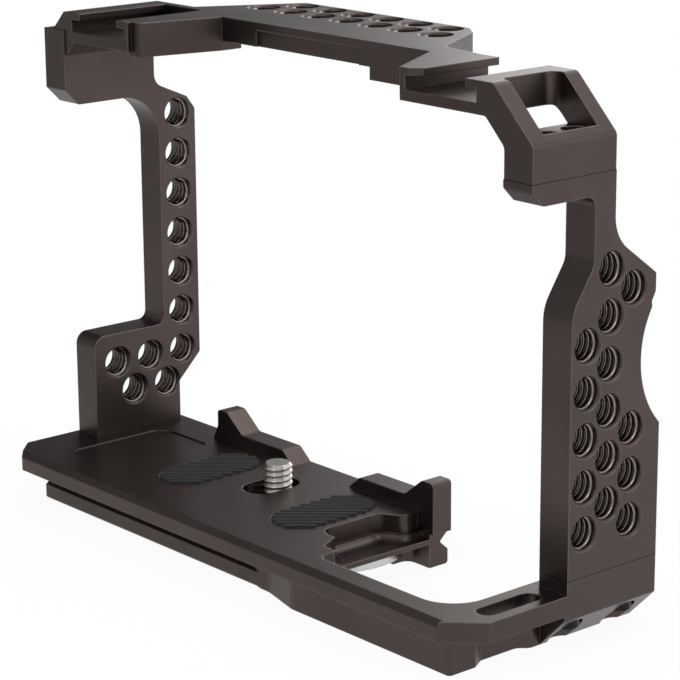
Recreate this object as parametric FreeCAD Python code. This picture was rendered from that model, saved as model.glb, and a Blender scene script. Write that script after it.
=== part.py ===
import FreeCAD, Part
import math
import os
from FreeCAD import Vector

# Camera cage. X to the right, Y from the rear (operator) to the front (lens), Z up, millimetres.
# The origin is the middle of the outline on the floor.

# overall
cage_width = 146.0
cage_depth = 59.0
cage_height = 107.2
right = cage_width / 2
left = -cage_width / 2
rear = -cage_depth / 2
front = cage_depth / 2

# base plate
base_top = 11.3
flange_thickness = 4.0
base_depth = 43.3
base_edge_bevel = 1.2
bar_depth = 5.9
bar_setback = 2.75
arm_width = 9.4
corner_cut_right = 6.5
corner_cut_left = 5.2
corner_cut_front = 3.2
door_corner_radius = 8.0
step_front_gap = 47.0
step_front = 10.7
step_root_gap = 51.0
step_rear_gap = 53.4
step_rear = 15.7
block_right_gap = 50.3
lip_right_gap = 49.3
flange_bottom = base_top - flange_thickness
base_front = rear + base_depth
block_right = right - block_right_gap

# quick-release dovetail on the underside
dovetail_width = 38.0
dovetail_lip = 3.1
dovetail_groove = 2.0
dovetail_left_gap = 6.4
dovetail_blend = 20.0
dovetail_runout = 71.5
dovetail_rear = base_front - dovetail_width

# side seam block, bottom bevel and strap slot on the right arm
seam_base = 14.05
bottom_bevel = 6.35
strap_slot_width = 4.4
strap_slot_length = 15.0
strap_slot_offset = 4.45
strap_slot_start = 8.3
strap_relief_start = 12.3
strap_relief_end = 23.4
strap_relief_depth = 1.7
bevel_start = 26.0

# pocket beside the battery door opening
shelf_top = 6.2
shelf_thickness = 1.1
shelf_cove = 3.0
shelf_width = 8.2
shelf_front = 31.5
shelf_pocket_front = 38.3
shelf_corner = 3.2
shelf_overrun = 30.0
shelf_notch_width = 3.6
shelf_notch_rear = 34.4
finger_recess_width = 6.6
finger_recess_rear = 16.0
finger_recess_front = 38.3

# faint step in the base's top
hollow_left = 11.5
hollow_right = 28.2
hollow_rear = 7.6
hollow_front = 34.2
hollow_depth = 0.25

# front lips that stop the camera turning
lip_thickness = 5.0
lip_rim = 14.1
lip_tab_top = 18.2
lip_tab_width = 3.4
lip_tab_slope = 5.2
lip_ramp = 3.4
lip_flare = 1.6
lip_length = 26.0
left_lip_gap = 26.2

# side plate on the right
plate_thickness = 7.4
plate_rear = 26.65
plate_front = 50.5
plate_shoulder = 48.65
neck_rear = 32.15
neck_front = 37.4
neck_slope_rise = 4.4
neck_slope_fall = 3.9
head_rear = 16.15
head_drop = 21.0
head_corner = 2.7
seam_drop = 16.8
shoulder_drop = 42.0
neck_drop = 33.8
relief_drop = 53.8
relief_half_height = 12.0
relief_depth = 4.4
relief_lead = 0.8
head_bottom = cage_height - head_drop
seam_top = cage_height - seam_drop
shoulder_bottom = cage_height - shoulder_drop
neck_bottom = cage_height - neck_drop
relief_middle = cage_height - relief_drop
relief_top = relief_middle + relief_half_height
relief_bottom = relief_middle - relief_half_height

# 1/4"-20 accessory threads
accessory_radius = 3.175
accessory_mouth = 3.55
hole_pitch = 9.0
plate_hole_rear = 30.85
plate_column_pitch = 6.0
plate_hole_low = 22.6

# left post, its foot and its head
post_thickness = 7.1
post_outer_gap = 1.4
post_rear = 37.25
post_front = 47.15
foot_rear = 18.15
foot_front = 41.25
foot_height = 34.6
foot_step = 26.4
left_head_rear = 12.7
left_head_front = 36.25
left_head_drop = 20.3
left_head_cut = 3.4
post_corner_drop = 24.7
post_slope_drop = 21.8
post_slope_run = 2.15
post_neck_drop = 18.0
post_hole_front = 42.3
post_hole_low = 28.0
hole_row_pitch = 7.0
post_left = left + post_outer_gap
post_right = post_left + post_thickness
left_head_bottom = cage_height - left_head_drop
post_corner = cage_height - post_corner_drop

# top plate
top_thickness = 5.05
top_rear_edge = 32.6
top_front_left = 33.5
top_front_right = 61.4
top_corner_run = 4.8
top_corner_rise = 3.6
top_rim = 1.65
top_rim_step = 0.6
top_rim_left = 49.0
top_rim_right = 65.0
bridge_rear_gap = 34.8
bridge_right_gap = 20.0
bridge_front = 36.6
bridge_front_gap = 30.5
bridge_slope_gap = 47.2
bridge_slope_end = 38.9
eyecup_tab_left = 61.8
eyecup_tab_right = 44.4
eyecup_tab_drop = 7.6
eyecup_tab_depth = 5.0
top_hole_edge = 4.05
top_hole_count = 7
top_hole_first = 32.6
top_bottom = cage_height - top_thickness

# accessory shoes
shoe_slot_width = 18.9
shoe_opening = 13.1
shoe_lip = 1.45
shoe_slot_height = 2.6
shoe_floor_thickness = 2.1
shoe_wall = 1.4
shoe_lead_width = 3.0
shoe_lead_depth = 2.2
right_shoe_gap = 14.4
left_shoe_inner_gap = 30.1
left_shoe_rear = 13.05
left_shoe_front = 35.7
left_shoe_stop = 37.6
left_shoe_bevel = 7.0
left_shoe_cove = 3.5
left_shoe_overlap = 5.0
arm_drop = 7.1
arm_rear = 14.1
arm_tip_gap = 33.6
arm_root_gap = 37.7
slab_left_gap = 21.7
arm_bottom = cage_height - arm_drop
shoe_floor = cage_height - shoe_lip - shoe_slot_height
shoe_bottom = shoe_floor - shoe_floor_thickness

# bevelled strap loop over the right side plate
loop_bevel = 10.1
loop_depth = 21.1
loop_wall = 7.2
loop_cove_gap = 12.1
loop_floor_drop = 9.2
loop_floor = cage_height - loop_floor_drop
window_inner_gap = 12.8
window_outer_gap = 1.6
window_rear = 20.05
window_front = 33.85
window_radius = 2.2

# joint screws
joint_thread = 1.5
joint_clearance = 1.7
joint_head_radius = 2.65
joint_head_height = 3.0
joint_socket = 1.25
joint_socket_depth = 1.6
flat_socket_depth = 1.2
flat_head_height = 1.7
head_clearance = 0.35
bore_end_gap = 0.4
arm_screw_gap = 4.1
arm_screws = (30.45, 44.65)
arm_bore_radius = 3.3
arm_bore_top = 6.6
arm_screw_length = 12.0
loop_screw_gap = 4.4
loop_screws = (23.8, 31.1)
loop_screw_length = 10.0
loop_screw_sink = 1.2
foot_screws = (23.15, 36.25)
foot_screw_length = 10.0
dowel_radius = 1.0
dowel_length = 5.0
loop_seat = loop_floor - loop_screw_sink

# captive camera screw in its slot
screw_gap = 86.9
screw_place = 28.55
slot_width = 8.0
slot_rear = 20.05
slot_front = 33.2
slot_floor = 6.6
stud_radius = 3.1
stud_top = 16.0
neck_radius = 2.45
neck_clearance = 0.25
screw_head_radius = 8.6
screw_head_thickness = 2.8
screw_head_clearance = 0.5
screw_recess_top = 4.6
screw_drive_width = 1.8
screw_drive_depth = 1.3
washer_radius = 6.0
washer_thickness = 0.6
clip_radius = 3.75
clip_thickness = 0.6
clip_opening = 3.2
running_gap = 0.05

# flat key held under the base by two magnets
key_front_reach = 5.5
key_rear_reach = 8.6
key_length = 21.4
key_thickness = 1.5
key_tip_gap = 54.5
key_end_radius = 16.5
key_side_clearance = 0.2
key_pocket_top = 3.1
key_blade_length = 3.0
key_blade_depth = 0.35
nail_slot_gap = 2.8
nail_slot_width = 1.4
nail_slot_length = 6.0
nail_slot_depth = 0.4
magnet_radius = 3.0
magnet_thickness = 2.0
magnet_spacing = 8.5

# rubber pads
pad_width = 12.0
pad_length = 24.2
pad_rear = 11.65
pad_left_reach = 17.0
pad_right_reach = 20.4
pad_depth = 0.7
pad_proud = 0.5
pad_clearance = 0.1


def box(x0, x1, y0, y1, z0, z1):
    return Part.makeBox(x1 - x0, y1 - y0, z1 - z0, Vector(x0, y0, z0))


def pin(x, y, z0, z1, radius):
    return Part.makeCylinder(radius, z1 - z0, Vector(x, y, z0))


def rounded_edges(corners):
    """Edges of a closed outline; each corner is (u, v) or (u, v, radius)."""
    points = [Vector(c[0], c[1], 0) for c in corners]
    radii = [c[2] if len(c) > 2 else 0.0 for c in corners]
    entries = []
    for i, corner in enumerate(points):
        toward_last = points[i - 1] - corner
        toward_next = points[(i + 1) % len(points)] - corner
        toward_last.normalize()
        toward_next.normalize()
        if radii[i] == 0.0:
            entries.append((corner, corner, corner))
            continue
        half = toward_last.getAngle(toward_next) / 2
        run = radii[i] / math.tan(half)
        bisector = toward_last + toward_next
        bisector.normalize()
        middle = corner + bisector * (radii[i] / math.sin(half) - radii[i])
        entries.append((corner + toward_last * run, middle, corner + toward_next * run))
    edges = []
    for i, (start, middle, end) in enumerate(entries):
        if (end - start).Length > 1e-6:
            edges.append(Part.Arc(start, middle, end).toShape())
        following = entries[(i + 1) % len(entries)][0]
        if (following - end).Length > 1e-6:
            edges.append(Part.makeLine(end, following))
    return edges


def profile(corners):
    return Part.Face(Part.Wire(rounded_edges(corners)))


def prism_z(corners, z0, z1):
    """A plan outline in X and Y, raised along Z."""
    face = profile(corners)
    face.translate(Vector(0, 0, z0))
    return face.extrude(Vector(0, 0, z1 - z0))


def prism_x(corners, x0, x1):
    """A side outline in Y and Z, raised along X."""
    face = profile(corners)
    face.rotate(Vector(0, 0, 0), Vector(1, 1, 1), 120)
    face.translate(Vector(x0, 0, 0))
    return face.extrude(Vector(x1 - x0, 0, 0))


def prism_y(corners, y0, y1):
    """A front outline in X and Z, raised along Y."""
    face = profile(corners)
    face.rotate(Vector(0, 0, 0), Vector(1, 0, 0), 90)
    face.translate(Vector(0, y0, 0))
    return face.extrude(Vector(0, y1 - y0, 0))


def slot_z(x, y0, y1, width, z0, z1):
    """A round-ended slot along Y."""
    half = width / 2
    body = box(x - half, x + half, y0 + half, y1 - half, z0, z1)
    return body.fuse([pin(x, y0 + half, z0, z1, half), pin(x, y1 - half, z0, z1, half)])


def tapped_hole_x(y, z, x0, x1):
    """A bore along X with a small countersink at both faces."""
    sink = accessory_mouth - accessory_radius
    along = Vector(1, 0, 0)
    bore = Part.makeCylinder(accessory_radius, x1 - x0, Vector(x0, y, z), along)
    inner = Part.makeCone(accessory_mouth, accessory_radius, sink, Vector(x0, y, z), along)
    outer = Part.makeCone(accessory_radius, accessory_mouth, sink, Vector(x1 - sink, y, z), along)
    return bore.fuse([inner, outer])


def tapped_hole_z(x, y, z0, z1):
    """A bore along Z with a small countersink at both faces."""
    sink = accessory_mouth - accessory_radius
    up = Vector(0, 0, 1)
    bore = Part.makeCylinder(accessory_radius, z1 - z0, Vector(x, y, z0), up)
    lower = Part.makeCone(accessory_mouth, accessory_radius, sink, Vector(x, y, z0), up)
    upper = Part.makeCone(accessory_radius, accessory_mouth, sink, Vector(x, y, z1 - sink), up)
    return bore.fuse([lower, upper])


def save(name, shape):
    solid = shape.removeSplitter()
    solid.exportStep("parts/" + name + ".step")


# places shared by pieces that meet

def arm_screw_places():
    return [(right - arm_screw_gap, rear + y) for y in arm_screws]


def loop_screw_places():
    return [(right - loop_screw_gap, rear + y) for y in loop_screws]


def foot_screw_places():
    x = post_left + post_thickness / 2
    return [(x, rear + y) for y in foot_screws]


def middle_of(places):
    xs = [p[0] for p in places]
    ys = [p[1] for p in places]
    return sum(xs) / len(xs), sum(ys) / len(ys)


def pad_places():
    centre = right - screw_gap
    return [centre - pad_left_reach, centre + pad_right_reach]


def magnet_places():
    first = right - key_tip_gap - key_length / 2 - magnet_spacing / 2
    return [(first, rear + screw_place), (first + magnet_spacing, rear + screw_place)]


# base plate

def base_flange():
    bar_front = rear + bar_depth
    arm_left = right - arm_width
    wide = block_right - shelf_width
    notch = block_right - shelf_notch_width
    shape = prism_z([
        (left, rear + corner_cut_left, 0.8),
        (left + corner_cut_left, rear, 0.8),
        (right - corner_cut_right, rear, 1.0),
        (right, rear + corner_cut_right, 1.0),
        (right, rear + plate_front, 0.6),
        (arm_left, rear + plate_front, 0.6),
        (arm_left, bar_front, door_corner_radius),
        (right - step_front_gap, bar_front, 2.0),
        (right - step_front_gap, rear + step_front, 0.9),
        (right - step_root_gap, rear + step_front, 1.2),
        (right - step_rear_gap, rear + step_rear),
        (wide, rear + step_rear, shelf_corner),
        (wide, rear + shelf_front, shelf_corner),
        (notch, rear + shelf_notch_rear, 2.0),
        (notch, base_front, 0.5),
        (left + corner_cut_front, base_front, 0.8),
        (left, base_front - corner_cut_front, 0.8),
    ], flange_bottom, base_top)
    edge = prism_x([
        (rear - 1.0, base_top + 1.0),
        (rear - 1.0, base_top - base_edge_bevel),
        (rear, base_top - base_edge_bevel),
        (rear + base_edge_bevel, base_top),
        (rear + base_edge_bevel, base_top + 1.0),
    ], left, right - corner_cut_right)
    return shape.cut(edge)


def base_bar():
    bar_rear = rear + bar_setback
    bar_front = rear + bar_depth
    bar_left = right - dovetail_runout
    arm_left = right - arm_width
    arm_right = right - bottom_bevel
    relief = arm_right - strap_relief_depth
    bar = prism_z([
        (bar_left, dovetail_rear, 8.0),
        (bar_left + dovetail_blend * 0.5, dovetail_rear, 8.0),
        (bar_left + dovetail_blend, bar_rear, 8.0),
        (arm_right, bar_rear, 0.8),
        (arm_right, rear + strap_relief_start - 3.0, 0.8),
        (relief, rear + strap_relief_start, 1.0),
        (relief, rear + strap_relief_end - 2.0, 2.0),
        (arm_right, rear + strap_relief_end, 2.0),
        (arm_right, rear + plate_front),
        (arm_left, rear + plate_front),
        (arm_left, bar_front, door_corner_radius),
        (block_right - 2.0, bar_front),
        (block_right - 2.0, dovetail_rear + 6.0),
        (bar_left, dovetail_rear + 6.0),
    ], 0.0, flange_bottom)
    return bar


def base_block():
    """The dovetail block below the flange, with its V grooves along X."""
    block_left = left + dovetail_left_gap
    groove_low = dovetail_lip
    groove_high = flange_bottom - 0.2
    middle = (groove_low + groove_high) / 2
    section = [
        (dovetail_rear, 0.4),
        (dovetail_rear + 0.4, 0.0),
        (base_front - 0.4, 0.0),
        (base_front, 0.4),
        (base_front, groove_low),
        (base_front - dovetail_groove, middle - 0.2),
        (base_front - dovetail_groove, middle + 0.2),
        (base_front, groove_high),
        (base_front, flange_bottom),
        (dovetail_rear, flange_bottom),
        (dovetail_rear, groove_high),
        (dovetail_rear + dovetail_groove, middle + 0.2),
        (dovetail_rear + dovetail_groove, middle - 0.2),
        (dovetail_rear, groove_low),
    ]
    return prism_x(section, block_left, block_right)


def base_shelf_cut():
    """The deep pocket above the shelf, with a cove along its foot."""
    low = rear + bar_depth
    high = rear + shelf_pocket_front
    wide = block_right - shelf_width
    notch = block_right - shelf_notch_width
    tool = prism_z([
        (right - step_front_gap, low, 2.0),
        (right - step_front_gap, rear + step_front, 0.9),
        (right - step_root_gap, rear + step_front, 1.2),
        (right - step_rear_gap, rear + step_rear),
        (wide, rear + step_rear, shelf_corner),
        (wide, rear + shelf_front, shelf_corner),
        (notch, rear + shelf_notch_rear, 2.0),
        (notch, high),
        (block_right + shelf_overrun, high),
        (block_right + shelf_overrun, low),
    ], shelf_top, base_top + 1.0)
    foot = [e for e in tool.Edges if abs(e.BoundBox.ZMax - shelf_top) < 1e-6]
    inner = [e for e in foot if abs(e.BoundBox.XMin - wide) < 0.01]
    return tool.makeFillet(shelf_cove, inner)


def lip(x_tab, direction, flare=0.0):
    """One front lip: a tab that falls to a low rim and a ramp down to the base."""
    def at(distance):
        return x_tab + direction * distance
    foot = [(at(0), flange_bottom)]
    if flare > 0.0:
        foot = [
            (at(-flare), flange_bottom),
            (at(-flare), base_top),
            (at(0), base_top + flare * 2, flare),
        ]
    corners = foot + [
        (at(0), lip_tab_top, 0.9),
        (at(lip_tab_width), lip_tab_top, 1.0),
        (at(lip_tab_width + lip_tab_slope), lip_rim, 2.0),
        (at(lip_length - lip_ramp), lip_rim, 1.0),
        (at(lip_length), base_top),
        (at(lip_length), flange_bottom),
    ]
    return prism_y(corners, base_front - lip_thickness, base_front)


def seam_block():
    inner = right - plate_thickness
    return box(inner, right, rear + plate_rear, rear + plate_front, flange_bottom, seam_base)


def outer_arm():
    """The bevelled underside of the right arm that carries the side plate."""
    return prism_y([
        (right - arm_width, 0.0),
        (right - bottom_bevel, 0.0),
        (right, bottom_bevel),
        (right, flange_bottom),
        (right - arm_width, flange_bottom),
    ], rear + bevel_start, rear + plate_front)


def screw_slot():
    x = right - screw_gap
    half_head = screw_head_radius + screw_head_clearance
    side = slot_width / 2
    neck = neck_radius + neck_clearance
    low = rear + slot_rear + side
    high = rear + slot_front - side
    upper = slot_z(x, low - side, high + side, slot_width, slot_floor, base_top + 1.0)
    narrow = slot_z(x, low - neck, high + neck, neck * 2, 0.0, slot_floor)
    recess = slot_z(x, low - half_head, high + half_head, half_head * 2, -1.0, screw_recess_top)
    return upper.fuse([narrow, recess])


def key_pocket():
    y = rear + screw_place
    low = y - key_rear_reach - key_side_clearance
    high = y + key_front_reach + key_side_clearance
    start = right - key_tip_gap - key_length - key_side_clearance
    end = block_right + 1.0
    pocket = box(start, end, low, high, -1.0, key_pocket_top)
    ceiling = shelf_top - shelf_thickness
    reach = block_right - finger_recess_width
    recess = prism_z([
        (reach, rear + finger_recess_rear, 2.0),
        (reach, rear + finger_recess_front, 2.0),
        (end, rear + finger_recess_front),
        (end, rear + finger_recess_rear),
    ], -1.0, ceiling)
    return pocket.fuse(recess)


def top_hollow():
    """The faint step that the camera body sits inside, at the left end."""
    return prism_z([
        (left + hollow_left, rear + hollow_rear, 4.0),
        (left + hollow_left, rear + hollow_front, 4.0),
        (left + hollow_right, rear + hollow_front, 2.0),
        (left + hollow_right, rear + hollow_rear, 4.0),
    ], base_top - hollow_depth, base_top + 1.0)


def make_base_plate():
    shape = base_flange().fuse([base_block(), base_bar(), seam_block(), outer_arm()])
    shape = shape.cut(base_shelf_cut())
    shape = shape.fuse([lip(right - lip_right_gap, -1), lip(left + left_lip_gap, 1, lip_flare)])
    cuts = [screw_slot(), key_pocket(), top_hollow()]
    slot_x = right - strap_slot_offset
    slot_start = rear + strap_slot_start
    cuts.append(slot_z(slot_x, slot_start, slot_start + strap_slot_length, strap_slot_width,
                       -1.0, base_top + 1.0))
    for x in pad_places():
        cuts.append(slot_z(x, rear + pad_rear, rear + pad_rear + pad_length, pad_width,
                           base_top - pad_depth, base_top + 1.0))
    for x, y in magnet_places():
        cuts.append(pin(x, y, key_pocket_top - 1.0, key_pocket_top + magnet_thickness,
                        magnet_radius))
    for x, y in arm_screw_places():
        cuts.append(pin(x, y, -1.0, arm_bore_top, arm_bore_radius))
        cuts.append(pin(x, y, arm_bore_top, seam_base + 1.0, joint_clearance))
    for x, y in foot_screw_places():
        cuts.append(pin(x, y, -1.0, flange_bottom, joint_head_radius + head_clearance))
        cuts.append(Part.makeCone(joint_head_radius + running_gap, joint_clearance, flat_head_height,
                                  Vector(x, y, flange_bottom)))
        cuts.append(pin(x, y, flange_bottom, base_top + 1.0, joint_clearance))
    x, y = middle_of(arm_screw_places())
    cuts.append(pin(x, y, seam_base - dowel_length / 2, seam_base + 1.0, dowel_radius))
    x, y = middle_of(foot_screw_places())
    cuts.append(pin(x, y, base_top - dowel_length / 2, base_top + 1.0, dowel_radius))
    return shape.cut(cuts)


# right side plate

def plate_hole_places():
    """Three columns; the rear one stops at the shoulder and the front one clears the relief."""
    columns = [rear + plate_hole_rear + i * plate_column_pitch for i in range(3)]
    rows = int((shoulder_bottom - plate_hole_low) / hole_pitch) + 1
    places = [(columns[0], plate_hole_low + i * hole_pitch) for i in range(rows)]
    start = plate_hole_low + hole_pitch / 2
    rows = int((neck_bottom - start) / hole_pitch) + 1
    places += [(columns[1], start + i * hole_pitch) for i in range(rows)]
    rows = int((relief_bottom - plate_hole_low) / hole_pitch) + 1
    places += [(columns[2], plate_hole_low + i * hole_pitch) for i in range(rows)]
    above = math.ceil((relief_top - plate_hole_low) / hole_pitch)
    places.append((columns[2], plate_hole_low + above * hole_pitch))
    return places


def make_right_side_plate():
    shape = prism_x([
        (rear + plate_rear, seam_base),
        (rear + plate_rear, shoulder_bottom, 8.0),
        (rear + neck_rear, neck_bottom, 4.0),
        (rear + neck_rear, head_bottom, 2.2),
        (rear + head_rear + head_corner, head_bottom, 0.6),
        (rear + head_rear, head_bottom + head_corner, 0.6),
        (rear + head_rear, seam_top),
        (rear + neck_front, seam_top),
        (rear + neck_front, neck_bottom + neck_slope_rise, 8.0),
        (rear + plate_shoulder, neck_bottom - neck_slope_fall, 0.8),
        (rear + plate_shoulder, relief_top + 0.6, 0.6),
        (rear + plate_shoulder - 1.0, relief_top - 1.2),
        (rear + plate_front, relief_bottom, 1.0),
        (rear + plate_front, seam_base),
    ], right - plate_thickness, right)
    radius = (relief_half_height ** 2 + relief_depth ** 2) / (2 * relief_depth)
    deepest = rear + plate_shoulder - relief_depth + relief_lead
    thumb = Part.makeCylinder(radius, plate_thickness + 2.0,
                              Vector(right - plate_thickness - 1.0, deepest + radius, relief_middle),
                              Vector(1, 0, 0))
    cuts = [thumb]
    for y, z in plate_hole_places():
        cuts.append(tapped_hole_x(y, z, right - plate_thickness, right))
    arm_reach = arm_bore_top + arm_screw_length + bore_end_gap
    for x, y in arm_screw_places():
        cuts.append(pin(x, y, seam_base - 1.0, arm_reach, joint_thread))
    for x, y in loop_screw_places():
        cuts.append(pin(x, y, loop_seat - loop_screw_length - bore_end_gap, seam_top + 1.0,
                        joint_thread))
    x, y = middle_of(arm_screw_places())
    cuts.append(pin(x, y, seam_base - 1.0, seam_base + dowel_length / 2, dowel_radius))
    x, y = middle_of(loop_screw_places())
    cuts.append(pin(x, y, seam_top - dowel_length / 2, seam_top + 1.0, dowel_radius))
    return shape.cut(cuts)


# top frame: top plate, both shoes, strap loop and the left post in one milled piece

def left_post():
    shape = prism_x([
        (rear + foot_rear, base_top),
        (rear + foot_rear, foot_height, 2.6),
        (rear + post_rear, foot_height, 2.0),
        (rear + post_rear, left_head_bottom, 9.5),
        (rear + left_head_rear + left_head_cut, left_head_bottom, 0.5),
        (rear + left_head_rear, left_head_bottom + left_head_cut, 0.5),
        (rear + left_head_rear, shoe_floor),
        (rear + left_head_front, shoe_floor),
        (rear + left_head_front, cage_height - post_neck_drop, 3.0),
        (rear + post_front - post_slope_run, cage_height - post_slope_drop, 0.8),
        (rear + post_front, post_corner, 1.0),
        (rear + post_front, foot_step, 0.8),
        (rear + foot_front, foot_step - (post_front - foot_front), 0.8),
        (rear + foot_front, base_top),
    ], post_left, post_right)
    cuts = []
    for step in range(int((post_corner - post_hole_low) / hole_pitch) + 1):
        z = post_hole_low + step * hole_pitch
        cuts.append(tapped_hole_x(rear + post_hole_front, z, post_left, post_right))
    for step in (1, 2):
        y = rear + post_hole_front - step * hole_pitch
        cuts.append(tapped_hole_x(y, post_hole_low, post_left, post_right))
    for step in (0.5, 1.5):
        y = rear + post_hole_front - step * hole_pitch
        cuts.append(tapped_hole_x(y, post_hole_low - hole_row_pitch, post_left, post_right))
    for x, y in foot_screw_places():
        cuts.append(pin(x, y, base_top - 1.0, flange_bottom + foot_screw_length + bore_end_gap,
                        joint_thread))
    x, y = middle_of(foot_screw_places())
    cuts.append(pin(x, y, base_top - 1.0, base_top + dowel_length / 2, dowel_radius))
    return shape.cut(cuts)


def left_shoe():
    """Shoe on the head of the post: open to the rear, closed at the front."""
    slot_right = left + left_shoe_inner_gap
    slot_left = slot_right - shoe_slot_width
    overhang = (shoe_slot_width - shoe_opening) / 2
    y0 = rear + left_shoe_rear
    y1 = rear + left_shoe_front
    outside = prism_y([
        (post_left, cage_height - left_shoe_bevel, 1.5),
        (post_left + left_shoe_bevel, cage_height, 0.5),
        (slot_right + 1.0, cage_height),
        (slot_right + 1.0, shoe_bottom),
        (post_right + left_shoe_cove, shoe_bottom, 0.8),
        (post_right, shoe_bottom - left_shoe_cove, 0.8),
        (post_right, shoe_bottom - left_shoe_overlap),
        (post_left, shoe_bottom - left_shoe_overlap),
    ], y0, rear + left_shoe_stop)
    slot = box(slot_left, slot_right, y0 - 1.0, y1, shoe_floor, cage_height - shoe_lip)
    mouth = box(slot_left + overhang, slot_right - overhang, y0 - 1.0, y1,
                shoe_floor, cage_height + 1.0)
    return outside.cut(slot).cut(mouth)


def left_arm():
    """The wall between the left shoe and the top plate, with its lip."""
    slot_right = left + left_shoe_inner_gap
    overhang = (shoe_slot_width - shoe_opening) / 2
    edge = rear + top_rear_edge
    root = left + arm_root_gap
    stop = rear + left_shoe_stop
    wall = prism_z([
        (slot_right, rear + arm_rear, 0.4),
        (left + arm_tip_gap, rear + arm_rear, 0.9),
        (root, edge),
        (root, stop),
        (slot_right, stop),
    ], arm_bottom, cage_height)
    edge_lip = prism_z([
        (slot_right - overhang, rear + arm_rear + 1.6, 0.8),
        (slot_right + 0.5, rear + arm_rear, 0.4),
        (slot_right + 0.5, rear + left_shoe_front),
        (slot_right - overhang, rear + left_shoe_front),
    ], cage_height - shoe_lip, cage_height)
    return wall.fuse(edge_lip)


def top_slab():
    edge = rear + top_rear_edge
    root = left + arm_root_gap
    stop = rear + left_shoe_stop
    bridge = rear + bridge_front
    slab = prism_z([
        (left + slab_left_gap, stop),
        (root, stop),
        (root, edge),
        (right - eyecup_tab_right, edge, 0.5),
        (right - bridge_rear_gap, rear + head_rear, 0.3),
        (right - bridge_right_gap, rear + head_rear),
        (right - bridge_right_gap, bridge),
        (right - bridge_front_gap, bridge),
        (right - bridge_slope_gap, rear + bridge_slope_end, 4.0),
        (right - top_front_right + top_corner_run, front - top_corner_rise, 0.8),
        (right - top_front_right, front, 0.8),
        (left + top_front_left, front, 1.5),
    ], top_bottom, cage_height)
    step = box(left + top_rim_left, right - top_rim_right, edge - 1.0, edge + top_rim_step,
               top_bottom - 1.0, cage_height - top_rim)
    return slab.cut(step)


def eyecup_tab():
    edge = rear + top_rear_edge
    return box(right - eyecup_tab_left, right - eyecup_tab_right, edge, edge + eyecup_tab_depth,
               cage_height - eyecup_tab_drop, top_bottom)


def right_shoe():
    """Shoe beside the loop, open at both ends."""
    slot_right = right - right_shoe_gap
    slot_left = slot_right - shoe_slot_width
    overhang = (shoe_slot_width - shoe_opening) / 2
    y0 = rear + head_rear
    y1 = y0 + loop_depth
    outside = box(slot_left - shoe_wall, slot_right + 1.0, y0, y1, shoe_bottom, cage_height)
    slot = box(slot_left, slot_right, y0 - 1.0, y1 + 1.0, shoe_floor, cage_height - shoe_lip)
    mouth = prism_z([
        (slot_left + overhang - shoe_lead_width, y0 - 1.0),
        (slot_left + overhang, y0 + shoe_lead_depth, 1.5),
        (slot_left + overhang, y1 + 1.0),
        (slot_right - overhang, y1 + 1.0),
        (slot_right - overhang, y0 - 1.0),
    ], shoe_floor, cage_height + 1.0)
    return outside, [slot, mouth]


def strap_loop():
    """The bevelled block over the side plate, with a window for a strap."""
    y0 = rear + head_rear
    y1 = y0 + loop_depth
    inner = right - loop_wall
    corner = right - loop_cove_gap
    body = prism_y([
        (right - right_shoe_gap, cage_height),
        (right - loop_bevel, cage_height, 1.5),
        (right, cage_height - loop_bevel, 1.5),
        (right, seam_top),
        (inner, seam_top),
        (inner, shoe_bottom - (inner - corner), 2.0),
        (corner, shoe_bottom, 1.0),
        (right - right_shoe_gap, shoe_bottom),
    ], y0, y1)
    window = prism_z([
        (right - window_inner_gap, rear + window_rear, window_radius),
        (right - window_inner_gap, rear + window_front, window_radius),
        (right - window_outer_gap, rear + window_front, 0.3),
        (right - window_outer_gap, rear + window_rear, 0.3),
    ], loop_floor, cage_height + 1.0)
    return body.cut(window)


def make_top_frame():
    shoe, shoe_cuts = right_shoe()
    shape = top_slab().fuse([left_post(), eyecup_tab(), shoe, strap_loop()])
    shape = shape.cut(shoe_cuts)
    shape = shape.fuse([left_shoe(), left_arm()])
    cuts = []
    for step in range(top_hole_count):
        x = left + top_hole_first + step * hole_pitch
        y = front - top_hole_edge - hole_row_pitch
        cuts.append(tapped_hole_z(x, y, top_bottom, cage_height))
    for step in range(top_hole_count - 1):
        x = left + top_hole_first + (step + 0.5) * hole_pitch
        cuts.append(tapped_hole_z(x, front - top_hole_edge, top_bottom, cage_height))
    for x, y in loop_screw_places():
        sink = loop_seat - flat_head_height
        cuts.append(pin(x, y, seam_top - 1.0, loop_seat, joint_clearance))
        cuts.append(pin(x, y, loop_seat, loop_floor + 1.0, joint_head_radius + running_gap))
        cuts.append(Part.makeCone(joint_clearance, joint_head_radius + running_gap, flat_head_height,
                                  Vector(x, y, sink)))
    x, y = middle_of(loop_screw_places())
    cuts.append(pin(x, y, seam_top - 1.0, seam_top + dowel_length / 2, dowel_radius))
    return shape.cut(cuts)


# fasteners

def socket(x, y, z0, z1):
    """A hexagonal drive socket."""
    points = []
    for i in range(7):
        angle = math.radians(60 * i)
        points.append(Vector(x + joint_socket * math.cos(angle),
                             y + joint_socket * math.sin(angle), z0))
    return Part.Face(Part.makePolygon(points)).extrude(Vector(0, 0, z1 - z0))


def cap_screw(x, y):
    """Socket head screw that points up from the underside."""
    head = pin(x, y, arm_bore_top - joint_head_height, arm_bore_top, joint_head_radius)
    shank = pin(x, y, arm_bore_top, arm_bore_top + arm_screw_length, joint_thread)
    low = arm_bore_top - joint_head_height
    return head.fuse(shank).cut(socket(x, y, low - 1.0, low + joint_socket_depth))


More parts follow.
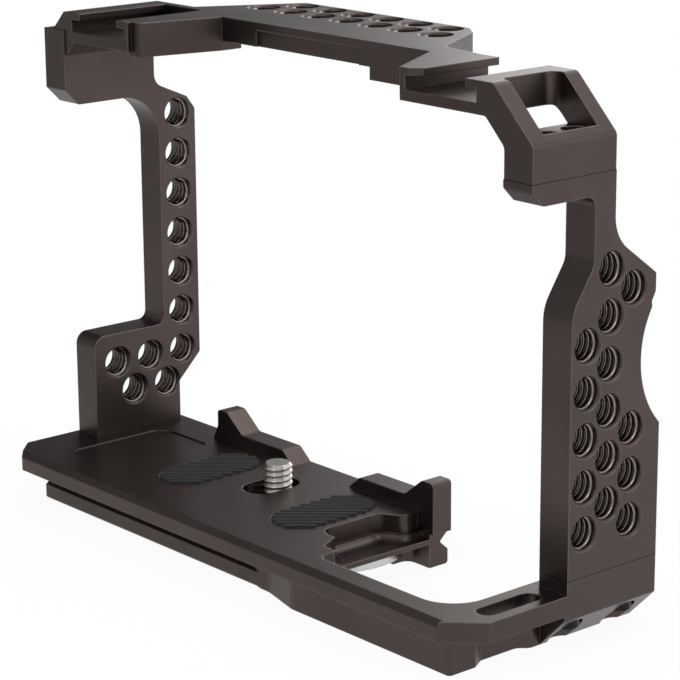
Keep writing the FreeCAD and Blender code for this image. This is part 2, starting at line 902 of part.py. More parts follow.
def flat_screw(x, y, face, length, down):
    """Countersunk screw; its head lies in the face at height face."""
    sign = -1.0 if down else 1.0
    along = Vector(0, 0, sign)
    head = Part.makeCone(joint_head_radius, joint_thread, flat_head_height, Vector(x, y, face), along)
    shank = Part.makeCylinder(joint_thread, length, Vector(x, y, face), along)
    ends = sorted((face - sign * 1.0, face + sign * flat_socket_depth))
    return head.fuse(shank).cut(socket(x, y, ends[0], ends[1]))


def dowel(places, seam):
    x, y = middle_of(places)
    return pin(x, y, seam - dowel_length / 2, seam + dowel_length / 2, dowel_radius)


def make_camera_screw():
    x = right - screw_gap
    y = rear + screw_place
    head_top = screw_recess_top - washer_thickness - running_gap
    head_low = head_top - screw_head_thickness
    head = pin(x, y, head_low, head_top, screw_head_radius)
    rims = [e for e in head.Edges if e.BoundBox.ZLength < 1e-6]
    head = head.makeChamfer(0.3, rims)
    neck_top = slot_floor + clip_thickness + 2 * running_gap
    neck = pin(x, y, head_top, neck_top, neck_radius)
    stud = pin(x, y, neck_top, stud_top, stud_radius)
    tip = [e for e in stud.Edges if abs(e.BoundBox.ZMin - stud_top) < 1e-6]
    stud = stud.makeChamfer(0.6, tip)
    drive = box(x - screw_drive_width / 2, x + screw_drive_width / 2,
                y - screw_head_radius - 1.0, y + screw_head_radius + 1.0,
                head_low - 1.0, head_low + screw_drive_depth)
    return head.fuse([neck, stud]).cut(drive)


def make_screw_washer():
    x = right - screw_gap
    y = rear + screw_place
    low = screw_recess_top - washer_thickness
    disc = pin(x, y, low, screw_recess_top, washer_radius)
    return disc.cut(pin(x, y, low - 1.0, screw_recess_top + 1.0, neck_radius + running_gap))


def make_screw_clip():
    """Open ring that snaps on the neck above the slot floor."""
    x = right - screw_gap
    y = rear + screw_place
    low = slot_floor + running_gap
    disc = pin(x, y, low, low + clip_thickness, clip_radius)
    hole = pin(x, y, low - 1.0, low + 2.0, neck_radius)
    gap = box(x - clip_opening / 2, x + clip_opening / 2, y, y + clip_radius + 1.0,
              low - 1.0, low + 2.0)
    return disc.cut([hole, gap])


def make_flat_key():
    y = rear + screw_place
    tip = right - key_tip_gap
    top = key_pocket_top - running_gap
    low = top - key_thickness
    rear_side = y - key_rear_reach
    front_side = y + key_front_reach
    blade_end = tip - key_length
    body = box(blade_end, tip, rear_side, front_side, low, top)
    end = pin(tip - key_end_radius, y, low, top, key_end_radius)
    blade = prism_y([
        (blade_end - 1.0, low - 1.0),
        (blade_end - 1.0, low + key_blade_depth),
        (blade_end, low + key_blade_depth),
        (blade_end + key_blade_length, low),
        (blade_end + key_blade_length, low - 1.0),
    ], rear_side - 1.0, front_side + 1.0)
    nail_end = tip - nail_slot_gap
    nail = box(nail_end - nail_slot_width, nail_end, y - nail_slot_length / 2,
               y + nail_slot_length / 2, low - 1.0, low + nail_slot_depth)
    return body.common(end).cut([blade, nail])


def make_pad(x):
    y0 = rear + pad_rear + pad_clearance
    y1 = rear + pad_rear + pad_length - pad_clearance
    return slot_z(x, y0, y1, pad_width - 2 * pad_clearance, base_top - pad_depth, base_top + pad_proud)


def main():
    os.makedirs("parts", exist_ok=True)
    save("base_plate", make_base_plate())
    save("right_side_plate", make_right_side_plate())
    save("top_frame", make_top_frame())
    for name, (x, y) in zip(("rear", "front"), arm_screw_places()):
        save("arm_screw_" + name, cap_screw(x, y))
    for name, (x, y) in zip(("rear", "front"), loop_screw_places()):
        save("loop_screw_" + name, flat_screw(x, y, loop_seat, loop_screw_length, True))
    for name, (x, y) in zip(("rear", "front"), foot_screw_places()):
        save("foot_screw_" + name, flat_screw(x, y, flange_bottom, foot_screw_length, False))
    save("arm_dowel", dowel(arm_screw_places(), seam_base))
    save("loop_dowel", dowel(loop_screw_places(), seam_top))
    save("foot_dowel", dowel(foot_screw_places(), base_top))
    save("camera_screw", make_camera_screw())
    save("screw_washer", make_screw_washer())
    save("screw_clip", make_screw_clip())
    save("flat_key", make_flat_key())
    for name, (x, y) in zip(("inner", "outer"), magnet_places()):
        save("key_magnet_" + name,
             pin(x, y, key_pocket_top, key_pocket_top + magnet_thickness, magnet_radius))
    for name, x in zip(("left", "right"), pad_places()):
        save("grip_pad_" + name, make_pad(x))


main()
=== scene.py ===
import math

import bmesh
import bpy
from mathutils import Euler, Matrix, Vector


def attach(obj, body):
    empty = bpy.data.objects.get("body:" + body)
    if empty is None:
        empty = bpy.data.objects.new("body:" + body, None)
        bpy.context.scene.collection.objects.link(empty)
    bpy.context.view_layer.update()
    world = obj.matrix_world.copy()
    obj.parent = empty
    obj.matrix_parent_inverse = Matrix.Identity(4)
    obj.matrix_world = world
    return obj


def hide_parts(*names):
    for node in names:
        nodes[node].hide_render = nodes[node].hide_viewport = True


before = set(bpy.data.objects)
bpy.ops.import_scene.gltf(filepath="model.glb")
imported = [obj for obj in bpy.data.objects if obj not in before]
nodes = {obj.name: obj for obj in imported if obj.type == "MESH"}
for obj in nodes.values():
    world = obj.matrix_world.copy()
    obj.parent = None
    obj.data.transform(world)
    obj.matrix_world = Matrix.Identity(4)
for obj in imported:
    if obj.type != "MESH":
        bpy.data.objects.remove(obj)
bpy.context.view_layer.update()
scene = bpy.context.scene
mm = 0.001
print("frame loaded:", len(nodes), "nodes")


# camera, as the photograph was taken; place in mm, turn in degrees
cameraSettings = {
    "place": (381.34, -321.62, 181.41),
    "turn": (74.7277, 0.3733, 49.3511),
    "lens": 134.57,
}


def addCamera(settings):
    data = bpy.data.cameras.new("photoCamera")
    data.lens = settings["lens"]
    data.sensor_width = 36.0
    data.clip_start = 0.01
    data.clip_end = 20.0
    camera = bpy.data.objects.new("photoCamera", data)
    camera.location = Vector(settings["place"]) * mm
    camera.rotation_euler = Euler([math.radians(a) for a in settings["turn"]])
    scene.collection.objects.link(camera)
    scene.camera = camera


addCamera(cameraSettings)
print("camera set")


# node trees: one way to add a node, and sockets that can be reckoned with
class Wire:
    def __init__(self, tree, socket):
        self.tree = tree
        self.socket = socket

    def reckon(self, operation, *values):
        node = self.tree.add("ShaderNodeMath", {"operation": operation}, dict(enumerate(values)))
        return node.out("Value")

    def __add__(self, other):
        return self.reckon("ADD", self, other)

    def __sub__(self, other):
        return self.reckon("SUBTRACT", self, other)

    def __mul__(self, other):
        return self.reckon("MULTIPLY", self, other)

    def __rsub__(self, other):
        return self.reckon("SUBTRACT", other, self)

    def __truediv__(self, other):
        return self.reckon("DIVIDE", self, other)

    def clamp(self, low, high):
        return self.reckon("MINIMUM", self.reckon("MAXIMUM", self, low), high)

    __radd__ = __add__
    __rmul__ = __mul__


class Added:
    def __init__(self, tree, node):
        self.tree = tree
        self.node = node

    def out(self, name=0):
        return Wire(self.tree, self.node.outputs[name])


class Tree:
    def __init__(self, tree):
        self.tree = tree

    def add(self, kind, settings=None, values=None):
        node = self.tree.nodes.new(kind)
        for name, value in (settings or {}).items():
            setattr(node, name, value)
        for name, value in (values or {}).items():
            if isinstance(value, Wire):
                self.tree.links.new(value.socket, node.inputs[name])
            else:
                node.inputs[name].default_value = value
        return Added(self, node)


def newMaterial(name):
    material = bpy.data.materials.new(name)
    material.use_nodes = True
    material.node_tree.nodes.clear()
    return material, Tree(material.node_tree)


def colour(hexText):
    parts = [int(hexText[i:i + 2], 16) / 255 for i in (0, 2, 4)]
    return tuple(c / 12.92 if c < 0.04045 else ((c + 0.055) / 1.055) ** 2.4 for c in parts) + (1.0,)


def mixColour(tree, share, first, second):
    node = tree.add("ShaderNodeMix", {"data_type": "RGBA"}, {0: share, 6: first, 7: second})
    return node.out(2)


bumpDepth = 0.1  # mm, how deep a full bump reads


def noise(tree, place, scale, detail):
    return tree.add("ShaderNodeTexNoise", {}, {
        "Vector": place, "Scale": scale, "Detail": detail}).out(0)


def finishMaterial(tree, base, roughness, height, metallic, bumpStrength, rounded=None):
    bump = {"Height": height, "Strength": bumpStrength, "Distance": bumpDepth * mm}
    if rounded:
        bump["Normal"] = rounded
    normal = tree.add("ShaderNodeBump", {}, bump).out("Normal")
    shader = tree.add("ShaderNodeBsdfPrincipled", {}, {
        "Metallic": metallic, "Base Color": base, "Roughness": roughness, "Normal": normal})
    tree.add("ShaderNodeOutputMaterial", {}, {"Surface": shader.out("BSDF")})


# bead-blasted and anodised aluminium: fine grain, faint cloudiness, outer edges paler, partly
# rubbed wear and partly painted highlight, inner corners darker with painted shade, and the two
# seams dark joints; lengths in mm
anodisedSettings = {
    "colour": "574D4A",
    "cloudColour": "4C4441",
    # paler edge tone: partly rubbed wear, partly a painted highlight on the outer edges
    "edgeWearAndHighlightColour": "A39A94",
    # dark tone for the seam joints and for the painted shade in inner corners
    "jointAndShadeColour": "120F0E",
    "seamHeights": (14.05, 90.4),
    "seamFrom": 60.0,
    "seamHalf": 0.13,
    "seamGain": 1.6,
    "grainSize": 0.22,
    "grainBump": 0.16,
    "cloudSize": 26.0,
    "cloudGain": 2.2,
    "roughness": 0.34,
    "cloudRoughness": 0.10,
    "grainRoughness": 0.08,
    "edgeRadius": 0.30,
    "edgeGain": 7.0,
    "edgeGrain": 0.35,
    "edgeShare": 0.42,
    "openFrom": 0.78,
    "creviceReach": 0.8,
    "creviceShadeShare": 0.55,
}


def anodised(name, settings):
    material, tree = newMaterial(name)
    place = tree.add("ShaderNodeTexCoord").out("Object")
    grain = noise(tree, place, 1 / (settings["grainSize"] * mm), 3.0)
    cloud = noise(tree, place, 1 / (settings["cloudSize"] * mm), 4.0)
    rounded = tree.add("ShaderNodeBevel", {"samples": 6}, {
        "Radius": settings["edgeRadius"] * mm}).out(0)
    flat = tree.add("ShaderNodeNewGeometry").out("True Normal")
    along = tree.add("ShaderNodeVectorMath", {"operation": "DOT_PRODUCT"},
                     {0: rounded, 1: flat}).out("Value")
    openness = tree.add("ShaderNodeAmbientOcclusion", {"samples": 4, "only_local": True}, {
        "Distance": settings["creviceReach"] * mm}).out("AO")
    raised = ((openness - settings["openFrom"]) * 6.0).clamp(0.0, 1.0)
    # paler outer edges: partly rubbed wear and partly a painted highlight, kept off inner corners
    wornAndHighlit = (1 - along) * settings["edgeGain"] - 0.10 + (grain - 0.5) * settings["edgeGrain"]
    edge = wornAndHighlit.clamp(0.0, 1.0) * raised
    jointAndShadeColour = colour(settings["jointAndShadeColour"])
    base = mixColour(tree, (cloud * settings["cloudGain"] - 0.6).clamp(0.0, 1.0),
                     colour(settings["colour"]), colour(settings["cloudColour"]))
    base = mixColour(tree, edge * settings["edgeShare"], base, colour(settings["edgeWearAndHighlightColour"]))
    # painted shade: inner corners and crevices darkened where ambient occlusion finds them closed
    # in
    creviceShade = ((0.8 - openness) * 2.0).clamp(0.0, 1.0) * settings["creviceShadeShare"]
    base = mixColour(tree, creviceShade, base, jointAndShadeColour)
    parts = tree.add("ShaderNodeSeparateXYZ", {}, {0: place})
    onArm = ((parts.out("X") - settings["seamFrom"] * mm) * 10000.0).clamp(0.0, 1.0)
    half = settings["seamHalf"] * mm
    for height in settings["seamHeights"]:
        offset = parts.out("Z") - height * mm
        away = offset.reckon("ABSOLUTE", offset)
        dark = ((half - away) / half).clamp(0.0, 1.0) * settings["seamGain"]
        base = mixColour(tree, dark.clamp(0.0, 1.0) * onArm, base, jointAndShadeColour)
    roughness = (settings["roughness"] + (cloud - 0.5) * settings["cloudRoughness"]
                 + (grain - 0.5) * settings["grainRoughness"])
    finishMaterial(tree, base, roughness, grain, 1.0, settings["grainBump"], rounded)
    return material


# bright metals: lines left by the lathe or the brush, and a few dull spots;
# colour, roughness, and how much the lines are squeezed along x, y and z
brightSettings = {
    "stud": ("C8C4BE", 0.22, (1, 1, 60)),
    "key": ("E4E4E4", 0.20, (1, 50, 1)),
    "washer": ("B9B9BA", 0.30, (12, 12, 12)),
    "magnet": ("C9C8C6", 0.14, (6, 6, 6)),
    "blackScrew": ("2A2A2C", 0.34, (10, 10, 10)),
}


def bright(name, settings):
    shade, roughness, stretch = settings
    material, tree = newMaterial(name)
    place = tree.add("ShaderNodeTexCoord").out("Object")
    squeezed = tree.add("ShaderNodeVectorMath", {"operation": "MULTIPLY"},
                        {0: place, 1: Vector(stretch) * 120.0}).out("Vector")
    lines = noise(tree, squeezed, 4.0, 5.0)
    spots = noise(tree, place, 700.0, 2.0)
    dull = (spots * 3.0 - 1.6).clamp(0.0, 1.0)
    tone = colour(shade)
    darker = tuple(c * 0.72 for c in tone[:3]) + (1.0,)
    base = mixColour(tree, (lines * 0.7 + dull * 0.4).clamp(0.0, 1.0), tone, darker)
    finishMaterial(tree, base, roughness + lines * 0.12 + dull * 0.10, lines, 1.0, 0.12)
    return material


# moulded rubber: matt, with a fine skin and patches of dust
rubberSettings = {
    "colour": "0E0F11",
    "dustColour": "26272A",
    "dustShare": 0.4,
    "roughness": 0.55,
    "skinBump": 0.3,
}


def rubber(name, settings):
    material, tree = newMaterial(name)
    place = tree.add("ShaderNodeTexCoord").out("Object")
    skin = noise(tree, place, 5200.0, 3.0)
    dust = (noise(tree, place, 420.0, 5.0) * 2.6 - 1.2).clamp(0.0, 1.0)
    base = mixColour(tree, dust * settings["dustShare"],
                     colour(settings["colour"]), colour(settings["dustColour"]))
    finishMaterial(tree, base, settings["roughness"] + skin * 0.2, skin, 0.0, settings["skinBump"])
    return material


# thread crests painted paler than the blasted faces as a painted highlight, and smoother
threadHighlightChanges = {
    "colour": "8C837D",
    "cloudColour": "7A716C",
    "roughness": 0.24,
    "edgeRadius": 0.10,
    "creviceShadeShare": 0.2,
}

metal = anodised("bronzeAnodised", anodisedSettings)
# thread material: the same anodised finish, painted paler as a painted highlight on the crests
threadPaintedHighlightMetal = anodised("threadAnodisedPaintedHighlight", {**anodisedSettings, **threadHighlightChanges})
steel = bright("studSteel", brightSettings["stud"])
keySteel = bright("keySteel", brightSettings["key"])
washerSteel = bright("washerSteel", brightSettings["washer"])
magnetPlate = bright("magnetPlate", brightSettings["magnet"])
blackSteel = bright("blackScrew", brightSettings["blackScrew"])
padRubber = rubber("padRubber", rubberSettings)
print("materials made")


def setFinish(piece, material):
    piece.data.materials.clear()
    piece.data.materials.append(material)


finishes = {
    "base_plate": metal, "right_side_plate": metal, "top_frame": metal,
    "arm_screw_rear": blackSteel, "arm_screw_front": blackSteel,
    "loop_screw_rear": steel, "loop_screw_front": steel,
    "foot_screw_rear": blackSteel, "foot_screw_front": blackSteel,
    "arm_dowel": washerSteel, "loop_dowel": washerSteel, "foot_dowel": washerSteel,
    "screw_washer": washerSteel, "screw_clip": washerSteel, "flat_key": keySteel,
    "key_magnet_inner": magnetPlate, "key_magnet_outer": magnetPlate,
}
for nodeName, material in finishes.items():
    setFinish(nodes[nodeName], material)


def pieceFromMesh(name, mesh, material, body):
    piece = bpy.data.objects.new(name, mesh)
    scene.collection.objects.link(piece)
    setFinish(piece, material)
    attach(piece, body)
    return piece


# Geometry Nodes: one thread is a helix swept with a diamond, then set at every hole
threadSettings = {
    "boreRadius": 3.175,
    "pitch": 1.27,
    "crest": 0.60,
    "overlap": 0.02,
    "endGap": 0.62,
    "stepsPerTurn": 28,
}
# the holes stand in rows, as in the solids: a row's place and start,
# and which of its places are drilled
holeSettings = {
    "spacing": 9.0,
    "side": {"from": 65.6, "thick": 7.4, "rows": [
        (1.35, 22.6, range(5)), (7.35, 27.1, range(6)), (13.35, 22.6, (0, 1, 2, 5))]},
    "post": {"from": -71.6, "thick": 7.1, "rows": [
        (12.8, 28.0, range(7)), (3.8, 28.0, (0,)), (-5.2, 28.0, (0,)),
        (8.3, 21.0, (0,)), (-0.7, 21.0, (0,))]},
    "top": {"from": 102.15, "thick": 5.05, "rows": [
        (18.45, -40.4, range(7)), (25.45, -35.9, range(6))]},
}


def uprightHoles(plate, spacing):
    return [((plate["from"], y, z + spacing * i), (0.0, math.pi / 2, 0.0))
            for y, z, places in plate["rows"] for i in places]


def levelHoles(plate, spacing):
    return [((x + spacing * i, y, plate["from"]), (0.0, 0.0, 0.0))
            for y, x, places in plate["rows"] for i in places]


def addInput(group, name, kind, default=None):
    item = group.interface.new_socket(name, in_out="INPUT", socket_type=kind)
    if default is not None:
        item.default_value = default
    return item.identifier


def threadTree(settings):
    group = bpy.data.node_groups.new("threadsInHoles", "GeometryNodeTree")
    tree = Tree(group)
    bore, crest = settings["boreRadius"] * mm, settings["crest"] * mm
    addInput(group, "Holes", "NodeSocketGeometry")
    inputs = {
        "turns": addInput(group, "Turns", "NodeSocketFloat"),
        "height": addInput(group, "Height", "NodeSocketFloat"),
        "start": addInput(group, "Start", "NodeSocketFloat", settings["endGap"] * mm),
        "radius": addInput(group, "Helix Radius", "NodeSocketFloat", bore),
        "crest": addInput(group, "Crest Height", "NodeSocketFloat", crest),
        "steps": addInput(group, "Steps per Turn", "NodeSocketInt", settings["stepsPerTurn"]),
        "finish": addInput(group, "Finish", "NodeSocketMaterial"),
    }
    group.interface.new_socket("Geometry", in_out="OUTPUT", socket_type="NodeSocketGeometry")
    given = tree.add("NodeGroupInput")
    helix = tree.add("GeometryNodeCurveSpiral", {}, {
        "Resolution": given.out("Steps per Turn"), "Rotations": given.out("Turns"),
        "Start Radius": given.out("Helix Radius"), "End Radius": given.out("Helix Radius"),
        "Height": given.out("Height")})
    lift = tree.add("ShaderNodeCombineXYZ", {}, {"Z": given.out("Start")})
    raised = tree.add("GeometryNodeTransform", {}, {
        "Geometry": helix.out("Curve"), "Translation": lift.out("Vector")})
    steady = tree.add("GeometryNodeSetCurveNormal", {"mode": "Z_UP"}, {
        "Curve": raised.out("Geometry")})
    diamond = tree.add("GeometryNodeCurvePrimitiveCircle", {"mode": "RADIUS"}, {
        "Resolution": 4, "Radius": given.out("Crest Height")})
    thread = tree.add("GeometryNodeCurveToMesh", {}, {
        "Curve": steady.out("Curve"), "Profile Curve": diamond.out("Curve"), "Fill Caps": True})
    turn = tree.add("GeometryNodeInputNamedAttribute", {"data_type": "FLOAT_VECTOR"}, {
        "Name": "turn"})
    repeated = tree.add("GeometryNodeInstanceOnPoints", {}, {
        "Points": given.out("Holes"), "Instance": thread.out("Mesh"),
        "Rotation": turn.out("Attribute")})
    solid = tree.add("GeometryNodeRealizeInstances", {}, {"Geometry": repeated.out("Instances")})
    shown = tree.add("GeometryNodeSetMaterial", {}, {
        "Geometry": solid.out("Geometry"), "Material": given.out("Finish")})
    tree.add("NodeGroupOutput", {}, {"Geometry": shown.out("Geometry")})
    return group, inputs


def pointsMesh(name, places, scales=None):
    mesh = bpy.data.meshes.new(name)
    mesh.from_pydata([Vector(p) * mm for p, turn in places], [], [])
    attribute = mesh.attributes.new("turn", "FLOAT_VECTOR", "POINT")
    for i, (place, turn) in enumerate(places):
        attribute.data[i].vector = turn
    if scales:
        attribute = mesh.attributes.new("stretch", "FLOAT_VECTOR", "POINT")
        for i, scale in enumerate(scales):
            attribute.data[i].vector = scale
    return mesh


def treeToMesh(name, mesh, group, values):
    maker = bpy.data.objects.new(name + "Points", mesh)
    scene.collection.objects.link(maker)
    modifier = maker.modifiers.new("make", "NODES")
    modifier.node_group = group
    for identifier, value in values.items():
        modifier[identifier] = value
    bpy.context.view_layer.update()
    graph = bpy.context.evaluated_depsgraph_get()
    result = bpy.data.meshes.new_from_object(maker.evaluated_get(graph))
    maker.modifiers.clear()
    bpy.data.objects.remove(maker)
    return result


def addThreads(settings, holes):
    group, inputs = threadTree(settings)
    spacing = holes["spacing"]
    for name, plate, places in (
            ("sideThreads", holes["side"], uprightHoles(holes["side"], spacing)),
            ("postThreads", holes["post"], uprightHoles(holes["post"], spacing)),
            ("topThreads", holes["top"], levelHoles(holes["top"], spacing))):
        thick = plate["thick"]
        height = thick - 2 * settings["endGap"] - settings["crest"]
        mesh = treeToMesh(name, pointsMesh(name, places), group, {
            inputs["turns"]: height / settings["pitch"],
            inputs["height"]: height * mm,
            inputs["start"]: (thick - height) / 2 * mm,
            inputs["radius"]: (settings["boreRadius"] + settings["overlap"]) * mm,
            inputs["crest"]: settings["crest"] * mm,
            inputs["steps"]: settings["stepsPerTurn"],
            inputs["finish"]: threadPaintedHighlightMetal,
        })
        mesh.name = name
        pieceFromMesh(name, mesh, threadPaintedHighlightMetal, "cage")
        print(name, len(places), "holes,", len(mesh.polygons), "faces")


addThreads(threadSettings, holeSettings)


# rubber pads: a slab with slanting ribs, each cut to the pad's own outline
padSettings = {
    "centres": (-30.9, 6.5),
    "yLow": -17.75,
    "yHigh": 6.25,
    "radius": 5.9,
    "bottom": 10.6,
    "slabTop": 11.38,
    "ribTop": 11.8,
    "ribPitch": 1.78,
    "ribWidth": 1.25,
    "shortestRib": 1.2,
    "endGap": 0.35,
    "slant": 49.0,
}


def padOutline(settings, x, steps=40):
    points = []
    for i in range(steps + 1):
        angle = math.pi * i / steps
        points.append((x + settings["radius"] * math.cos(angle),
                       settings["yHigh"] - settings["radius"] * (1 - math.sin(angle))))
    for i in range(steps + 1):
        angle = math.pi + math.pi * i / steps
        points.append((x + settings["radius"] * math.cos(angle),
                       settings["yLow"] + settings["radius"] * (1 + math.sin(angle))))
    return points


def crossing(outline, start, along):
    across = Vector((-along.y, along.x))
    found = []
    for i, point in enumerate(outline):
        a, b = Vector(point) - start, Vector(outline[(i + 1) % len(outline)]) - start
        da, db = a.dot(across), b.dot(across)
        if (da > 0) != (db > 0):
            found.append(a.lerp(b, da / (da - db)).dot(along))
    return (min(found), max(found)) if len(found) > 1 else None


def ribTree():
    group = bpy.data.node_groups.new("padRibs", "GeometryNodeTree")
    tree = Tree(group)
    addInput(group, "Points", "NodeSocketGeometry")
    inputs = {
        "rib": addInput(group, "Rib", "NodeSocketObject"),
        "finish": addInput(group, "Finish", "NodeSocketMaterial"),
    }
    group.interface.new_socket("Geometry", in_out="OUTPUT", socket_type="NodeSocketGeometry")
    given = tree.add("NodeGroupInput")
    rib = tree.add("GeometryNodeObjectInfo", {}, {"Object": given.out("Rib")})
    turn = tree.add("GeometryNodeInputNamedAttribute", {"data_type": "FLOAT_VECTOR"}, {
        "Name": "turn"})
    size = tree.add("GeometryNodeInputNamedAttribute", {"data_type": "FLOAT_VECTOR"}, {
        "Name": "stretch"})
    repeated = tree.add("GeometryNodeInstanceOnPoints", {}, {
        "Points": given.out("Points"), "Instance": rib.out("Geometry"),
        "Rotation": turn.out("Attribute"), "Scale": size.out("Attribute")})
    solid = tree.add("GeometryNodeRealizeInstances", {}, {"Geometry": repeated.out("Instances")})
    shown = tree.add("GeometryNodeSetMaterial", {}, {
        "Geometry": solid.out("Geometry"), "Material": given.out("Finish")})
    tree.add("NodeGroupOutput", {}, {"Geometry": shown.out("Geometry")})
    return group, inputs


def ribSource(settings):
    half, high = settings["ribWidth"] / 2, settings["ribTop"] - settings["slabTop"]
    section = [(-half, -0.1), (half, -0.1), (half * 0.9, high * 0.5), (half * 0.45, high),
               (-half * 0.45, high), (-half * 0.9, high * 0.5)]
    points = [(x, y * mm, z * mm) for x in (-0.5, 0.5) for y, z in section]
    count = len(section)
    faces = [tuple(reversed(range(count))), tuple(range(count, 2 * count))]
    faces += [(i, (i + 1) % count, count + (i + 1) % count, count + i) for i in range(count)]
    mesh = bpy.data.meshes.new("rib")
    mesh.from_pydata(points, [], faces)
    source = bpy.data.objects.new("ribSource", mesh)
    scene.collection.objects.link(source)
    return source


def outlineSlab(outline, low, high, shape):
    lower = [shape.verts.new((x * mm, y * mm, low * mm)) for x, y in outline]
    upper = [shape.verts.new((x * mm, y * mm, high * mm)) for x, y in outline]
    count = len(outline)
    shape.faces.new(list(reversed(lower)))
    shape.faces.new(upper)
    for i in range(count):
        j = (i + 1) % count
        shape.faces.new((lower[i], lower[j], upper[j], upper[i]))


def addPads(settings):
    group, inputs = ribTree()
    source = ribSource(settings)
    angle = math.radians(settings["slant"])
    along = Vector((math.cos(angle), math.sin(angle)))
    across = Vector((-along.y, along.x))
    for side, x in zip(("left", "right"), settings["centres"]):
        outline = padOutline(settings, x)
        middle = Vector((x, (settings["yLow"] + settings["yHigh"]) / 2))
        reach = (settings["yHigh"] - settings["yLow"]) / 2
        places, sizes = [], []
        count = int(reach / settings["ribPitch"]) + 1
        for i in range(-count, count + 1):
            start = middle + across * i * settings["ribPitch"]
            ends = crossing(outline, start, along)
            if ends and ends[1] - ends[0] > settings["shortestRib"]:
                centre = start + along * (ends[0] + ends[1]) / 2
                places.append(((centre.x, centre.y, settings["slabTop"]), (0.0, 0.0, angle)))
                sizes.append(((ends[1] - ends[0] - settings["endGap"]) * mm, 1.0, 1.0))
        mesh = treeToMesh("pad", pointsMesh("pad", places, sizes), group,
                          {inputs["rib"]: source, inputs["finish"]: padRubber})
        shape = bmesh.new()
        shape.from_mesh(mesh)
        outlineSlab(outline, settings["bottom"], settings["slabTop"], shape)
        bmesh.ops.recalc_face_normals(shape, faces=shape.faces)
        shape.to_mesh(mesh)
        shape.free()
        mesh.name = "padMesh" + side
        pad = pieceFromMesh("gripPad_" + side, mesh, padRubber, "cage")
        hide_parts("grip_pad_" + side)
        print(pad.name, len(places), "ribs")
    bpy.data.objects.remove(source)


addPads(padSettings)


# camera screw: the CAD head and neck, with a cut thread in place of the plain stud
studSettings = {
    "centre": (-13.9, -0.95),
    "bottom": 7.3,
    "top": 16.0,
    "major": 3.1,
    "minor": 2.62,
    "tipRadius": 2.3,
    "pitch": 1.27,
    "chamfer": 0.6,
    "runIn": 0.2,
    "around": 48,
    "perTurn": 12,
}


def studRadius(settings, angle, z):
    phase = (z / settings["pitch"] - angle / (2 * math.pi)) % 1.0
    ramp = abs(phase - 0.5) * 2.0
    depth = settings["major"] - settings["minor"]
    radius = settings["minor"] + depth * min(1.0, max(0.0, ramp * 1.3 - 0.1))
    tip = settings["top"] - z
    lead = z - settings["bottom"]
    limit = settings["major"] - max(0.0, settings["chamfer"] - tip)
    limit = min(limit, settings["minor"] + max(0.0, lead - settings["runIn"]))
    return min(radius, max(limit, settings["tipRadius"]))


def addCameraScrew(settings):
    shape = bmesh.new()
    shape.from_mesh(nodes["camera_screw"].data)
    bmesh.ops.remove_doubles(shape, verts=shape.verts, dist=1e-6)
    cutoff = (settings["bottom"] - 0.01) * mm
    gone = [f for f in shape.faces if min(v.co.z for v in f.verts) > cutoff]
    bmesh.ops.delete(shape, geom=gone, context="FACES")
    centre, bottom, count = settings["centre"], settings["bottom"], settings["around"]
    length = settings["top"] - bottom
    rows = int(length * settings["perTurn"] / settings["pitch"])
    rings = []
    for j in range(rows + 1):
        z = bottom + length * j / rows
        ring = []
        for i in range(count):
            angle = 2 * math.pi * i / count
            radius = studRadius(settings, angle, z)
            place = (centre[0] + radius * math.cos(angle), centre[1] + radius * math.sin(angle), z)
            ring.append(shape.verts.new(Vector(place) * mm))
        rings.append(ring)
    for lower, upper in zip(rings, rings[1:]):
        for i in range(count):
            j = (i + 1) % count
            face = shape.faces.new((lower[i], lower[j], upper[j], upper[i]))
            face.smooth = True
    shape.faces.new(rings[-1])
    shape.faces.new(list(reversed(rings[0])))
    mesh = bpy.data.meshes.new("cameraScrew")
    shape.to_mesh(mesh)
    shape.free()
    screw = pieceFromMesh("cameraScrew", mesh, steel, "tripod_screw")
    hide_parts("camera_screw")
    print("camera screw", len(mesh.polygons), "faces")


addCameraScrew(studSettings)


# floor, world and lamps; a lamp has its place, its two sides in metres and its watts
stageSettings = {
    "floorColour": (0.90, 0.90, 0.90, 1.0),
    "farColour": (0.20, 0.20, 0.20, 1.0),
    "floorWhite": 0.93,
    "floorHalf": 6.0,
    "floorGap": 0.02,
    "floorFall": 2.2,
    "worldStrength": 0.80,
    "roomStrength": 0.75,
    "roomFall": 0.35,
    "brightSide": (0.50, 0.85, 0.17),
    "screenSide": (-0.92, 0.195, 0.342),
    "screenEdge": (0.78, 0.95),
    "screenShare": 0.75,
    "lamps": {
        "overhead": ((-0.10, 0.30, 0.80), (0.7, 0.5), 2.0),
        "keyLeft": ((0.15, -0.9, 0.7), (0.4, 0.4), 1.6),
        "sideRight": ((0.9, 0.3, 0.4), (0.3, 0.6), 1.6),
        "behind": ((-0.45, 0.85, 0.30), (0.6, 0.5), 1.3),
    },
    "lampAim": (0.0, 0.0, 0.05),
}


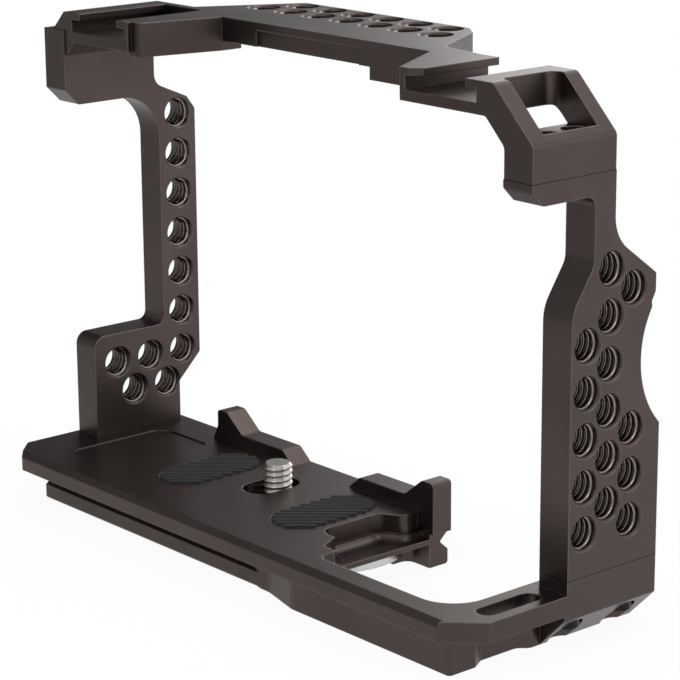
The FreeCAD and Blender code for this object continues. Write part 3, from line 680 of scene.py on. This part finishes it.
# white to the camera, dimmer away from the bright side to what mirrors it, and clear from below
def addFloor(settings):
    mesh = bpy.data.meshes.new("floor")
    half, z = settings["floorHalf"], -settings["floorGap"] * mm
    corners = [(-half, -half, z), (half, -half, z), (half, half, z), (-half, half, z)]
    mesh.from_pydata(corners, [], [(0, 1, 2, 3)])
    floor = bpy.data.objects.new("floor", mesh)
    scene.collection.objects.link(floor)
    material, tree = newMaterial("paleFloor")
    place = tree.add("ShaderNodeTexCoord").out("Object")
    speckle = noise(tree, place, 60.0, 2.0)
    path = tree.add("ShaderNodeLightPath")
    side = tree.add("ShaderNodeVectorMath", {"operation": "DOT_PRODUCT"},
                    {0: place, 1: settings["brightSide"]}).out("Value")
    fall = (0.72 + side * settings["floorFall"]).clamp(0.25, 1.0)
    glossy = path.out("Is Glossy Ray")
    seen = (path.out("Is Camera Ray") + glossy * fall
            + path.out("Is Transmission Ray")).clamp(0.0, 1.0)
    shade = mixColour(tree, glossy * (1 - fall), settings["floorColour"], settings["farColour"])
    plain = tree.add("ShaderNodeBsdfDiffuse", {}, {
        "Color": shade, "Roughness": 0.5 + speckle * 0.1})
    white = tree.add("ShaderNodeEmission", {}, {"Color": (1, 1, 1, 1), "Strength": 1.0})
    mixed = tree.add("ShaderNodeMixShader", {}, {
        0: seen * settings["floorWhite"], 1: plain.out("BSDF"), 2: white.out("Emission")})
    under = tree.add("ShaderNodeNewGeometry").out("Backfacing")
    clear = tree.add("ShaderNodeBsdfTransparent")
    shown = tree.add("ShaderNodeMixShader", {}, {
        0: under, 1: mixed.out("Shader"), 2: clear.out("BSDF")})
    tree.add("ShaderNodeOutputMaterial", {}, {"Surface": shown.out("Shader")})
    setFinish(floor, material)


# an even pale room; what mirrors it sees a bright side and a dark screen
def addWorld(settings):
    world = bpy.data.worlds.new("studio")
    scene.world = world
    world.use_nodes = True
    world.node_tree.nodes.clear()
    tree = Tree(world.node_tree)
    path = tree.add("ShaderNodeLightPath")
    toward = tree.add("ShaderNodeTexCoord").out("Generated")
    side, screen = (tree.add("ShaderNodeVectorMath", {"operation": "DOT_PRODUCT"},
                             {0: toward, 1: settings[name]}).out("Value")
                    for name in ("brightSide", "screenSide"))
    screenFrom, screenTo = settings["screenEdge"]
    screened = tree.add("ShaderNodeMapRange", {"interpolation_type": "SMOOTHSTEP"},
                        {0: screen, 1: screenFrom, 2: screenTo}).out(0)
    room = (settings["roomStrength"] + side * settings["roomFall"]
            - screened * settings["screenShare"]).clamp(0.03, 1.1)
    glossy = path.out("Is Glossy Ray")
    seen = (path.out("Is Camera Ray") + path.out("Is Transmission Ray")).clamp(0.0, 1.0)
    plain = settings["worldStrength"] + seen * (1 - settings["worldStrength"])
    strength = plain * (1 - glossy) + room * glossy
    light = tree.add("ShaderNodeBackground", {}, {"Color": (1, 1, 1, 1), "Strength": strength})
    tree.add("ShaderNodeOutputWorld", {}, {"Surface": light.out("Background")})


def addLamps(settings):
    for name, (place, size, power) in settings["lamps"].items():
        data = bpy.data.lights.new(name, "AREA")
        data.shape = "RECTANGLE"
        data.size, data.size_y = size
        data.energy = power
        lamp = bpy.data.objects.new(name, data)
        lamp.location = place
        aim = Vector(settings["lampAim"]) - Vector(place)
        lamp.rotation_euler = aim.to_track_quat("-Z", "Y").to_euler()
        scene.collection.objects.link(lamp)


addFloor(stageSettings)
addWorld(stageSettings)
addLamps(stageSettings)
scene.view_settings.view_transform = "Standard"
print("stage and lamps set")
